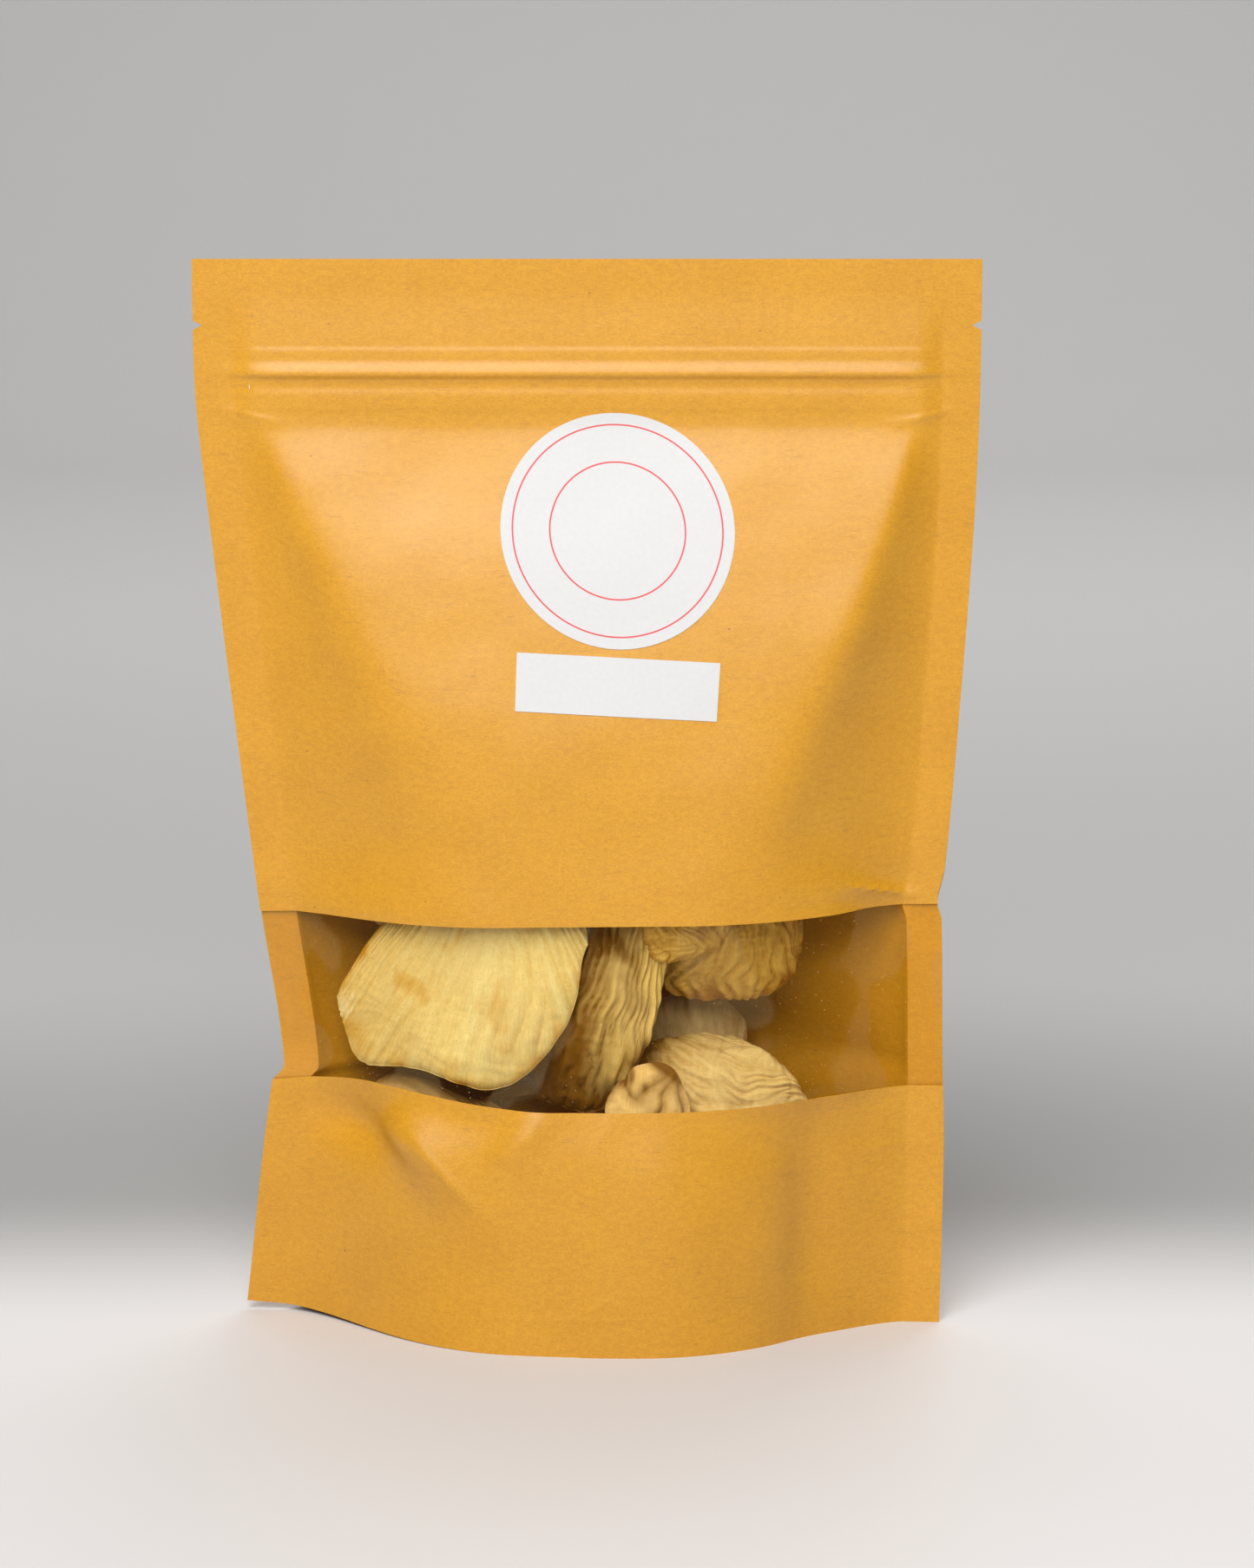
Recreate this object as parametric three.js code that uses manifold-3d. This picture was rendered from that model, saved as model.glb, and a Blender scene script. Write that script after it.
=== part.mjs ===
// A kraft-paper stand-up pouch with a clear window band, filled with dried oyster mushrooms.
// Millimetres, +Z up. The pouch stands on the plane z = 0 and its front faces -Y. The origin is the
// middle of the base. Every sheet is laid out flat first, with u across it (0 in the middle) and v up
// it (0 at the bottom edge), and is then bent to the shape it takes when the pouch is filled.

import * as THREE from "three";
import { mergeVertices } from "three/addons/utils/BufferGeometryUtils.js";
import Module from "manifold-3d";

const wasm = await Module();
wasm.setup();

// --- Driving dimensions -------------------------------------------------------------------------

const POUCH_WIDTH = 170; // flat, from side edge to side edge
const POUCH_HEIGHT = 240; // flat, from bottom edge to top edge
const STANDING_HEIGHT = 236; // once the pouch is filled and stands
const SETTLING = STANDING_HEIGHT / POUCH_HEIGHT;
const GUSSET_DEPTH = 40; // from the bottom edge up to the gusset's fold
const GUSSET_SAG = 0.05; // how far each half of the gusset sags, as a share of its spread
const SIDE_SEAL = 8; // width of the flat heat seal down each side
const SHEET = 0.25; // thickness of every sheet
const GAP = 0.3; // clearance kept between two sheets that are sealed together
const PLY = SHEET + GAP;

const WINDOW_BOTTOM = 54.5;
const WINDOW_TOP = 95;
const FILM_OVERLAP = 4.5; // the film runs this far behind the paper, above and below the window

const ZIPPER_BOTTOM = 207;
const ZIPPER_TOP = 219.5;
const ZIPPER_LENGTH = 146;
const ZIPPER_RIB_REACH = 0.3; // how far past the middle of the pouch a rib reaches
const NOTCH_HEIGHT = 225.5; // up the sheet
const NOTCH_DEPTH = 2;
const NOTCH_MOUTH = 2;

const ROUND_LABEL_RADIUS = 25.4;
const ROUND_LABEL = { u: 5.5, v: 181, tilt: 0 };
const OBLONG_LABEL = { width: 44.5, height: 12.7, u: 4.6, v: 147.5, tilt: -3 };
const LABEL_SHEET = 0.2;

const HALF_WIDTH = POUCH_WIDTH / 2;
const INNER_HALF = HALF_WIDTH - SIDE_SEAL;

// Grid lines across and up the flat sheets, closer together where the walls bend most.
const FROM_MIDDLE = [10, 20, 30, 40, 49, 57, 64, 70, 74, INNER_HALF, HALF_WIDTH];
const WALL_COLUMNS = [...FROM_MIDDLE.map((u) => -u).reverse(), 0, ...FROM_MIDDLE];
const FILM_BOTTOM = WINDOW_BOTTOM - FILM_OVERLAP;
const FILM_TOP = WINDOW_TOP + FILM_OVERLAP;
const ZIPPER_MIDDLE = (ZIPPER_BOTTOM + ZIPPER_TOP) / 2;
const WALL_ROWS = [
  0, 8, 18, 28, GUSSET_DEPTH, FILM_BOTTOM, WINDOW_BOTTOM, 60, 68, 77, 86, WINDOW_TOP, FILM_TOP, 108, 118,
  130, 142, 154, 166, 178, 190, 200, ZIPPER_BOTTOM, ZIPPER_MIDDLE, ZIPPER_TOP, 228, POUCH_HEIGHT,
];
const GUSSET_ROWS = [-1, -0.75, -0.5, -0.25, -0.03, 0, 0.03, 0.25, 0.5, 0.75, 1];

// --- The shape of the filled pouch --------------------------------------------------------------

// Each list holds [height up the sheet, value] stations, and the value between them is blended.
const LEFT_EDGE_X = [
  [0, -76.8], [54.5, -70.2], [58, -67.6], [95, -72.3], [130, -76.4], [170, -80.8], [208, -84.6], [222, -85],
  [POUCH_HEIGHT, -85],
];
const RIGHT_EDGE_X = [
  [0, 78.2], [40, 78.9], [60, 78.5], [92, 78], [96, 77], [104, 78.6], [140, 81.4], [180, 83.9], [208, 84.9],
  [222, 85], [POUCH_HEIGHT, 85],
];
const LEFT_EDGE_Y = [[0, 4], [50, 0.4], [54.5, -0.4], [60, 2.4], [100, 0.5], [140, 0], [POUCH_HEIGHT, 0]];
const RIGHT_EDGE_Y = [[0, -6], [50, -3], [100, -1], [140, 0], [POUCH_HEIGHT, 0]];
// Half the stack of sheets in the side seals: four sheets deep up to the top of the film, then two.
const PLY_STACK = [[0, 1.5 * PLY], [100, 1.5 * PLY], [112, PLY / 2], [200, PLY / 2], [POUCH_HEIGHT, PLY / 2]];
const FRONT_BULGE = [
  [0, 31.2], [20, 30.4], [40, 28.4], [55, 25.6], [75, 21.6], [95, 19.2], [115, 17.6], [135, 15.4],
  [155, 12.2], [175, 8.2], [190, 4.6], [203, 1.4], [207, 1.2], [220, 1.2], [228, 0.1], [POUCH_HEIGHT, 0.05],
];
const BACK_BULGE = [
  [0, 33.2], [20, 32.6], [40, 31], [70, 27], [100, 23], [130, 18], [155, 12.6], [175, 8], [190, 4.4],
  [203, 1.4], [207, 1.2], [220, 1.2], [228, 0.1], [POUCH_HEIGHT, 0.05],
];
// How far in from the side seal the bulge reaches its full depth, as a share of the half width.
const SHOULDER = [
  [0, 0.82], [55, 0.85], [95, 0.72], [112, 0.54], [143, 0.36], [174, 0.2], [198, 0.1], [206, 0.035],
  [POUCH_HEIGHT, 0.035],
];
const SHOULDER_POWER = 1.35;
const RAISED_CORNER = { lift: 2, reach: 45 }; // the left bottom corner stands clear of the table

function along(stations, v) {
  let i = 0;
  while (i < stations.length - 2 && v > stations[i + 1][0]) i += 1;
  const [v0, a] = stations[i];
  const [v1, b] = stations[i + 1];
  const straight = (b - a) / (v1 - v0);
  const slopeAt = (j) => {
    const before = stations[Math.max(0, j - 1)];
    const after = stations[Math.min(stations.length - 1, j + 1)];
    const slope = (after[1] - before[1]) / (after[0] - before[0]);
    return slope * straight <= 0 ? 0 : Math.sign(slope) * Math.min(Math.abs(slope), 2 * Math.abs(straight));
  };
  const t = THREE.MathUtils.clamp((v - v0) / (v1 - v0), 0, 1);
  const ease = t * t * (3 - 2 * t);
  const leaving = t * (1 - t) ** 2 * slopeAt(i);
  const arriving = t * t * (t - 1) * slopeAt(i + 1);
  return a + (b - a) * ease + (leaving + arriving) * (v1 - v0);
}

// The depth (y) of a wall. face is -1 for the front sheet and +1 for the back one.
function depthAt(face, u, v) {
  const inFromSeal = Math.max(0, INNER_HALF - Math.abs(u)) / INNER_HALF;
  const reach = Math.min(1, inFromSeal / along(SHOULDER, v));
  const fullBulge = along(face < 0 ? FRONT_BULGE : BACK_BULGE, v);
  const bulge = fullBulge * Math.sin((Math.PI / 2) * reach) ** SHOULDER_POWER;
  const seamY = THREE.MathUtils.lerp(along(LEFT_EDGE_Y, v), along(RIGHT_EDGE_Y, v), u / POUCH_WIDTH + 0.5);
  return seamY + face * (along(PLY_STACK, v) + bulge);
}

// Paper doesn't stretch, so a steep stretch of the section takes up less of the pouch's width.
function acrossAt(face, u, v) {
  const steps = 48;
  const du = POUCH_WIDTH / steps;
  let whole = 0;
  let reached = 0;
  for (let i = 0; i < steps; i += 1) {
    const from = -HALF_WIDTH + i * du;
    const slope = (depthAt(face, from + du, v) - depthAt(face, from, v)) / du;
    const width = Math.sqrt(Math.max(0.05, 1 - slope ** 2));
    whole += width;
    reached += width * THREE.MathUtils.clamp((u - from) / du, 0, 1);
  }
  return THREE.MathUtils.lerp(along(LEFT_EDGE_X, v), along(RIGHT_EDGE_X, v), reached / whole);
}

function raised(u, v) {
  const sideways = Math.max(0, -u / HALF_WIDTH) ** 3;
  return RAISED_CORNER.lift * sideways * Math.max(0, 1 - v / RAISED_CORNER.reach);
}

function pouchWall(face, u, v) {
  return new THREE.Vector3(acrossAt(face, u, v), depthAt(face, u, v), v * SETTLING + raised(u, v));
}

// The gusset's sheet: t runs from -1 at the front bottom edge through 0 at its fold to 1 at the back.
// In the side seals its two halves lie flat between the walls, and in the middle they spread as a tent.
function gussetWall(u, t) {
  const face = t < 0 ? -1 : 1;
  const k = 1 - Math.abs(t);
  const rimFront = pouchWall(-1, u, 0);
  const rimBack = pouchWall(1, u, 0);
  const rimHalf = (rimBack.y - rimFront.y) / 2 - PLY;
  const foldHeight = Math.sqrt(GUSSET_DEPTH ** 2 - rimHalf ** 2);
  const sag = GUSSET_SAG * rimHalf * Math.sin(Math.PI * k);
  const z = rimFront.z * (1 - k) + foldHeight * k - sag;
  const v = z / SETTLING;
  const front = pouchWall(-1, u, v);
  const back = pouchWall(1, u, v);
  const beside = face < 0 ? front.x : back.x;
  const spread = (rimHalf - PLY / 2) * (1 - k) + (k < 1 ? PLY / 2 : 0);
  const middle = front.clone().lerp(back, 0.5);
  return new THREE.Vector3(THREE.MathUtils.lerp(beside, middle.x, k), middle.y + face * spread, z);
}

// --- Making solids ------------------------------------------------------------------------------

// The point at (u, v) on a wall, moved off it by offset. A foot is the edge that the pouch stands on,
// and it stays level.
function offWall(wall, u, v, offset, isFoot = false) {
  const step = 0.02;
  const du = wall(u + step, v).sub(wall(u - step, v));
  const dv = wall(u, v + step).sub(wall(u, v - step));
  const normal = dv.cross(du);
  if (isFoot) normal.z = 0;
  return wall(u, v).addScaledVector(normal.normalize(), offset);
}

// A closed sheet that follows a wall: two layers of one grid, joined round the rim. Both layers split
// their squares along the same diagonal, so that a thin, twisted sheet never cuts itself.
function bentSheet(columns, rows, wall, offset, footRows) {
  const points = [];
  for (const side of [-1, 1]) {
    for (const v of rows) {
      for (const u of columns) {
        points.push(offWall(wall, u, v, offset + (side * SHEET) / 2, footRows.includes(v)));
      }
    }
  }
  const across = columns.length - 1;
  const up = rows.length - 1;
  const at = (layer, column, row) => (layer * rows.length + row) * columns.length + column;
  const index = [];
  const square = (a, b, c, d) => index.push(a, b, c, a, c, d);
  for (let row = 0; row < up; row += 1) {
    for (let column = 0; column < across; column += 1) {
      const corners = (layer) => [
        at(layer, column, row), at(layer, column, row + 1),
        at(layer, column + 1, row + 1), at(layer, column + 1, row),
      ];
      const [a, b, c, d] = corners(0);
      square(a, d, c, b);
      square(...corners(1));
    }
  }
  const rim = (column0, row0, column1, row1) =>
    square(at(1, column1, row1), at(1, column0, row0), at(0, column0, row0), at(0, column1, row1));
  for (let row = 0; row < up; row += 1) {
    rim(0, row, 0, row + 1);
    rim(across, row + 1, across, row);
  }
  for (let column = 0; column < across; column += 1) {
    rim(column, up, column + 1, up);
    rim(column + 1, 0, column, 0);
  }
  const geometry = new THREE.BufferGeometry().setFromPoints(points);
  geometry.setIndex(index);
  return geometry;
}

// A sheet of the front or back wall, from v0 to v1. inset moves it towards the inside of the pouch.
// Nested sheets share their grid lines, so that they never cut through each other.
function wallSheet(face, v0, v1, inset = 0) {
  const rows = WALL_ROWS.filter((v) => v >= v0 && v <= v1);
  return bentSheet(WALL_COLUMNS, rows, (u, v) => pouchWall(face, u, v), -face * inset, [0]);
}

function solid(geometry) {
  const merged = mergeVertices(geometry, 1e-4);
  return new wasm.Manifold(
    new wasm.Mesh({
      numProp: 3,
      vertProperties: merged.getAttribute("position").array,
      triVerts: new Uint32Array(merged.index.array),
    }),
  );
}

function geometryOf(manifold) {
  const { vertProperties, triVerts } = manifold.getMesh();
  const geometry = new THREE.BufferGeometry();
  geometry.setAttribute("position", new THREE.BufferAttribute(new Float32Array(vertProperties), 3));
  geometry.setIndex(new THREE.BufferAttribute(new Uint32Array(triVerts), 1));
  return geometry;
}

// Cuts the two tear notches, small V shapes in the side edges.
function withNotches(geometry) {
  const clear = 1; // how far the cutter stands out past the edge
  const mouth = (NOTCH_MOUTH / 2) * (1 + clear / NOTCH_DEPTH);
  const through = 6;
  let cut = solid(geometry);
  for (const side of [-1, 1]) {
    const edge = pouchWall(-1, side * HALF_WIDTH, NOTCH_HEIGHT);
    const vee = new THREE.Shape();
    vee.moveTo(-side * NOTCH_DEPTH, 0);
    vee.lineTo(side * clear, -mouth);
    vee.lineTo(side * clear, mouth);
    vee.closePath();
    const cutter = new THREE.ExtrudeGeometry(vee, { depth: through, bevelEnabled: false });
    cutter.translate(0, 0, -through / 2);
    cutter.rotateX(Math.PI / 2);
    cutter.translate(edge.x, 0, edge.z);
    cutter.deleteAttribute("normal");
    cutter.deleteAttribute("uv");
    cut = cut.subtract(solid(cutter));
  }
  return geometryOf(cut);
}

// --- Materials ----------------------------------------------------------------------------------

const kraft = new THREE.MeshStandardMaterial({ color: 0xd99a3d, roughness: 0.82 });
const film = new THREE.MeshStandardMaterial({
  color: 0xf1ead9,
  roughness: 0.08,
  transparent: true,
  opacity: 0.25,
});
const zipperPlastic = new THREE.MeshStandardMaterial({ color: 0xf4f1e8, roughness: 0.35 });
const labelPaper = new THREE.MeshStandardMaterial({ color: 0xf3f1ee, roughness: 0.4 });
const driedFlesh = new THREE.MeshStandardMaterial({ color: 0xe2cb8a, roughness: 0.75 });

const pouch = new THREE.Group();

function add(name, geometry, material, parent = pouch) {
  const mesh = new THREE.Mesh(geometry, material);
  mesh.name = name;
  parent.add(mesh);
  return mesh;
}

// --- Pouch --------------------------------------------------------------------------------------

add("back_panel", withNotches(wallSheet(1, 0, POUCH_HEIGHT)), kraft);
add("front_upper_panel", withNotches(wallSheet(-1, WINDOW_TOP, POUCH_HEIGHT)), kraft);
add("front_lower_panel", wallSheet(-1, 0, WINDOW_BOTTOM), kraft);
add("window_film", wallSheet(-1, FILM_BOTTOM, FILM_TOP, PLY), film);
add("bottom_gusset", bentSheet(WALL_COLUMNS, GUSSET_ROWS, gussetWall, 0, [-1, 1]), kraft);

// --- Zipper -------------------------------------------------------------------------------------

// Each strip is one extrusion: a flange that is welded to its panel, and the ribs of the track. The
// outline's x runs up the pouch and its y runs out towards the panel. A rib is [from, to] across it.
function zipperStrip(face, ribs) {
  const halfFlange = (ZIPPER_TOP - ZIPPER_BOTTOM) / 2;
  const outer = PLY / 2 + along(FRONT_BULGE, ZIPPER_MIDDLE) - PLY;
  const inner = outer - SHEET;
  const outline = new THREE.Shape();
  outline.moveTo(-halfFlange, outer);
  outline.lineTo(-halfFlange, inner);
  for (const [from, to] of ribs) {
    outline.lineTo(from, inner);
    outline.lineTo(from, -ZIPPER_RIB_REACH);
    outline.lineTo(to, -ZIPPER_RIB_REACH);
    outline.lineTo(to, inner);
  }
  outline.lineTo(halfFlange, inner);
  outline.lineTo(halfFlange, outer);
  outline.closePath();
  const strip = new THREE.ExtrudeGeometry(outline, { depth: ZIPPER_LENGTH, bevelEnabled: false });
  strip.translate(0, 0, -ZIPPER_LENGTH / 2);
  const turn = new THREE.Matrix4().makeBasis(
    new THREE.Vector3(0, 0, 1),
    new THREE.Vector3(0, face, 0),
    new THREE.Vector3(-face, 0, 0),
  );
  strip.applyMatrix4(turn);
  strip.translate(0, 0, ZIPPER_MIDDLE * SETTLING);
  return strip;
}

add("zipper_front_strip", zipperStrip(-1, [[-0.45, 0.45]]), zipperPlastic);
add("zipper_back_strip", zipperStrip(1, [[-1.4, -0.8], [0.8, 1.4]]), zipperPlastic);

// --- Labels -------------------------------------------------------------------------------------

// Lays a flat label, whose x and z are u and v and whose y is its thickness, on the front.
function labelOn(flat, label) {
  flat.rotateY(THREE.MathUtils.degToRad(-label.tilt));
  flat.translate(label.u, 0, label.v);
  flat.deleteAttribute("normal");
  flat.deleteAttribute("uv");
  const front = (u, v) => pouchWall(-1, u, v);
  const clearance = SHEET / 2 + GAP + LABEL_SHEET / 2;
  const position = flat.getAttribute("position");
  for (let i = 0; i < position.count; i += 1) {
    const at = offWall(front, position.getX(i), position.getZ(i), position.getY(i) - clearance);
    position.setXYZ(i, at.x, at.y, at.z);
  }
  return flat;
}

const discRadii = [0, 9, 17.5, ROUND_LABEL_RADIUS];
const discSide = (y) => discRadii.map((r) => new THREE.Vector2(r, y));
const discProfile = [...discSide(-LABEL_SHEET / 2), ...discSide(LABEL_SHEET / 2).reverse()];
add("round_label", labelOn(new THREE.LatheGeometry(discProfile, 28), ROUND_LABEL), labelPaper);

const oblong = new THREE.BoxGeometry(OBLONG_LABEL.width, LABEL_SHEET, OBLONG_LABEL.height, 8, 1, 3);
add("oblong_label", labelOn(oblong, OBLONG_LABEL), labelPaper);

// --- Mushrooms ----------------------------------------------------------------------------------

// A dried oyster mushroom is a fan-shaped cap with its stem at one side. In its own frame the stem
// joins at the origin, the cap grows along +x and its upper side faces +z. Profile points are
// [radius as a share of the outline, layer]: layer 0 is the upper side and -1 the gill side, and from
// -1 to -2 the stem runs out to its cut end.
const CAP_PROFILE = [
  [0, -2], [0.13, -2], [0.19, -1.1], [0.5, -1], [0.93, -1], [1, -0.5], [0.94, 0], [0.72, 0], [0.4, 0], [0, 0],
];
const CAP_SEGMENTS = 16;
const STEM_DIRECTION = new THREE.Vector3(-0.62, 0, -0.78);
const CURL_CENTRE = 0.4; // where the curled cap is level, as a share of its length
const RIM_THINNING = 0.62;

// length and heel are how far the cap reaches ahead of the stem and behind it, and sides are its half
// widths towards -y and +y. sweep is how far each side leans forward. curl and roll are the radii that
// it bends to, along and across. inroll is how far the margin turns down, and ripple how wavy it is.
const USUAL = {
  heel: 9, sides: [20, 20], sweep: [5, 5], squareness: 2.3, curl: 60, roll: 30, inroll: 4, ripple: 1,
  thick: 3.6, stem: 9,
};

// at: where the stem joins. grows: the way the cap spreads. faces: the way its upper side looks.
// seed: where the ripples start.
const MUSHROOMS = {
  mushroom_front_left: {
    at: [-21, -16, 92], grows: [-0.07, -0.04, -1], faces: [-0.26, -1, 0.1],
    length: 37, heel: 22, sides: [36, 22], sweep: [18, 3], squareness: 2.1, curl: 75, roll: 70, seed: 0.6,
  },
  mushroom_front_middle: {
    at: [8, -8, 103], grows: [-0.08, -0.1, -1], faces: [0.25, -1, 0.05],
    length: 56, sides: [25, 15], squareness: 3, curl: 80, roll: 18, seed: 2.1,
  },
  mushroom_upper_right_front: {
    at: [21, -17.2, 105.5], grows: [0.25, -0.02, -1], faces: [0.25, -1, 0.1],
    length: 25, sides: [13, 13], curl: 40, stem: 6, seed: 3.3,
  },
  mushroom_upper_right: {
    at: [35, -7, 110], grows: [0.05, -0.05, -1], faces: [0.1, -1, 0.1],
    length: 38, sides: [21, 21], roll: 34, seed: 4.2,
  },
  mushroom_lower_right: {
    at: [44, -9, 52], grows: [-1, -0.1, 0.15], faces: [0.15, -1, 0.35],
    length: 34, curl: 50, roll: 34, seed: 5.1,
  },
  mushroom_lower_middle: {
    at: [12.6, -19, 33], grows: [0.05, -0.08, 1], faces: [0.1, -1, 0.1],
    length: 27, sides: [13, 12], roll: 20, stem: 6, seed: 1.2,
  },
  mushroom_lower_left: {
    at: [-16, -9, 36], grows: [-1, -0.02, 0.45], faces: [-0.1, -1, 0.3],
    length: 42, sides: [14, 14], seed: 2.7,
  },
  mushroom_upper_left_rear: {
    at: [-42, 2.5, 114], grows: [-0.12, 0, -1], faces: [-0.2, -1, 0],
    length: 29, heel: 5, sides: [9, 9], thick: 3, stem: 5, seed: 0.2,
  },
  mushroom_middle_rear: {
    at: [21, 8, 42], grows: [0.1, 0, 1], faces: [0, -1, 0.2],
    length: 30, sides: [15, 15], seed: 3.9,
  },
  mushroom_rear_left: {
    at: [-10, 20, 98], grows: [-0.3, 0, -1], faces: [0, 1, 0],
    length: 40, roll: 40, seed: 1.7,
  },
  mushroom_bottom_left: {
    at: [-6, -22, 20], grows: [-1, 0.12, 0.1], faces: [0, -1, 0.45],
    length: 38, heel: 6, sides: [11, 9], thick: 3, stem: 6, seed: 1.3,
  },
  mushroom_bottom_right: {
    at: [38, -21, 23], grows: [-1, -0.03, -0.08], faces: [0, -1, 0.45],
    length: 34, heel: 6, sides: [9, 8], thick: 3, stem: 6, seed: 3.6,
  },
  mushroom_bottom_rear: {
    at: [-22, 15.5, 43.5], grows: [0.9, 0.1, -0.2], faces: [0, 1, 0.35],
    length: 46, sides: [17, 17], seed: 5.6,
  },
};

// Where a point of the cap lies: share runs from 0 at the stem to 1 at the margin.
function mushroomPoint(m, share, angle, layer) {
  const side = Math.sin(angle) < 0 ? 0 : 1;
  const reach = Math.cos(angle) > 0 ? m.length : m.heel;
  const ahead = Math.abs(Math.cos(angle) / reach) ** m.squareness;
  const aside = Math.abs(Math.sin(angle) / m.sides[side]) ** m.squareness;
  const outline = (ahead + aside) ** (-1 / m.squareness);
  const wave = 1 + m.ripple * (0.03 * Math.sin(3 * angle + m.seed) + 0.02 * Math.sin(7 * angle + 2 * m.seed));
  const radius = share * outline * wave;
  const y = radius * Math.sin(angle);
  const x = radius * Math.cos(angle) + m.sweep[side] * (y / m.sides[side]) ** 2;

  const thickness = m.thick * (1 - RIM_THINNING * share ** 2) * (share < 1 ? 1 : 0.5);
  const rippled = m.ripple * share ** 3 * Math.sin(4 * angle + 3 * m.seed);
  const lift = rippled - m.inroll * share ** 5 + thickness * Math.max(layer, -1);

  const level = m.length * CURL_CENTRE;
  const tiltX = (x - level) / m.curl;
  const tiltY = y / m.roll;
  const drop = m.curl * (1 - Math.cos(tiltX)) + m.roll * (1 - Math.cos(tiltY));
  const point = new THREE.Vector3(
    level + (m.curl + lift) * Math.sin(tiltX),
    m.roll * Math.sin(tiltY) + lift * Math.sin(tiltY) * Math.cos(tiltX),
    lift * Math.cos(tiltX) * Math.cos(tiltY) - drop,
  );
  return point.addScaledVector(STEM_DIRECTION, Math.max(0, -1 - layer) * m.stem);
}

function mushroomGeometry(m) {
  const profile = CAP_PROFILE.map(([r, layer]) => new THREE.Vector2(r, layer));
  const cap = new THREE.LatheGeometry(profile, CAP_SEGMENTS);
  cap.deleteAttribute("normal");
  cap.deleteAttribute("uv");
  const position = cap.getAttribute("position");
  for (let i = 0; i < position.count; i += 1) {
    const share = Math.hypot(position.getX(i), position.getZ(i));
    const angle = share < 1e-6 ? 0 : Math.atan2(position.getX(i), position.getZ(i));
    const at = mushroomPoint(m, share, angle, position.getY(i));
    position.setXYZ(i, at.x, at.y, at.z);
  }
  return cap;
}

const mushrooms = new THREE.Group();
pouch.add(mushrooms);

for (const [name, own] of Object.entries(MUSHROOMS)) {
  const m = { ...USUAL, ...own };
  const mesh = add(name, mushroomGeometry(m), driedFlesh, mushrooms);
  const grows = new THREE.Vector3(...m.grows).normalize();
  const across = new THREE.Vector3(...m.faces).cross(grows).normalize();
  const faces = grows.clone().cross(across);
  mesh.quaternion.setFromRotationMatrix(new THREE.Matrix4().makeBasis(grows, across, faces));
  mesh.position.set(...m.at);
}

export default pouch;
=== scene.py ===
"""A kraft-paper stand-up pouch with a clear window band, filled with dried oyster mushrooms, built round
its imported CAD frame.

Shapes are worked out in millimetres, with the same stations and formulas as the CAD part, and become
meshes in metres. Each sheet of the pouch is laid out flat first, u across it from the middle and v up it
from the bottom edge, and is then bent to the shape it takes when the pouch is full.
"""

import math

import bpy
import numpy as np
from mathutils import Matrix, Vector


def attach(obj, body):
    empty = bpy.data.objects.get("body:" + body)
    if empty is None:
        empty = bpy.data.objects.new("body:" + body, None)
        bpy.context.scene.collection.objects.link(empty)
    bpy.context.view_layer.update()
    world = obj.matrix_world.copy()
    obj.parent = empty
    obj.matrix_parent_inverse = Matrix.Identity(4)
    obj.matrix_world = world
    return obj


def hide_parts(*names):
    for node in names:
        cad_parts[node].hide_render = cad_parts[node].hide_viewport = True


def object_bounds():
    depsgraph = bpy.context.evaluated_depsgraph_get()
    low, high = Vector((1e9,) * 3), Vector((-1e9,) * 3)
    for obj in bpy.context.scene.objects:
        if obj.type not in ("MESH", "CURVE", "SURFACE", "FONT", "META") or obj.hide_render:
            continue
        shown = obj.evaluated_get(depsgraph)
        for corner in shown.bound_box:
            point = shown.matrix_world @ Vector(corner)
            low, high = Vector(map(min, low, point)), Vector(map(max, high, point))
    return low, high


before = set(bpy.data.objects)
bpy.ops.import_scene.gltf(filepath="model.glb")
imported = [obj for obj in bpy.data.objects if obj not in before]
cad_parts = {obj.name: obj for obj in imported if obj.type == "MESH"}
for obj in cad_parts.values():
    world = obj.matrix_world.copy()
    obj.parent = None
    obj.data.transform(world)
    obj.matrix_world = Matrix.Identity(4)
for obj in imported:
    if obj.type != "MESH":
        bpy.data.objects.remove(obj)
CAD_LOW, CAD_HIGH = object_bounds()

MM = 0.001
BODY = "root"

# --- The pouch's dimensions, in millimetres -----------------------------------------------------------

POUCH_WIDTH = (CAD_HIGH.x - CAD_LOW.x) / MM
SETTLING = 236 / 240  # how much of its flat height the full pouch stands
HALF_WIDTH = POUCH_WIDTH / 2
SIDE_SEAL = 8
INNER_HALF = HALF_WIDTH - SIDE_SEAL
GUSSET_DEPTH = 40
GUSSET_SAG = 0.05
PAPER = 0.2
PLY = 0.26  # from the middle of one sheet to the middle of the next, where they are sealed together

WINDOW_BOTTOM, WINDOW_TOP = 54.5, 95
FILM_BOTTOM, FILM_TOP = 50, 99.5
FILM = 0.12
ZIPPER_BOTTOM, ZIPPER_TOP = 207, 219.5
RIB_HEIGHT = 214.6
NOTCH_HEIGHT, NOTCH_DEPTH, NOTCH_HALF = 225.5, 2, 1

# Each list holds [height up the sheet, value] stations, and the value between them is blended.
LEFT_EDGE_X = [
    [0, -76.8], [54.5, -70.2], [58, -67.6], [95, -72.3], [130, -76.4], [170, -80.8], [208, -84.6],
    [222, -85], [240, -85],
]
RIGHT_EDGE_X = [
    [0, 78.2], [40, 78.9], [60, 78.5], [92, 78], [96, 77], [104, 78.6], [140, 81.4], [180, 83.9],
    [208, 84.9], [222, 85], [240, 85],
]
LEFT_EDGE_Y = [[0, 4], [50, 0.6], [54.5, 0.4], [64, 1.6], [100, 0.5], [140, 0], [240, 0]]
RIGHT_EDGE_Y = [[0, -6], [50, -3], [100, -1], [140, 0], [240, 0]]
PLY_STACK = [[0, 1.5 * PLY], [100, 1.5 * PLY], [112, PLY / 2], [200, PLY / 2], [240, PLY / 2]]
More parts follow.
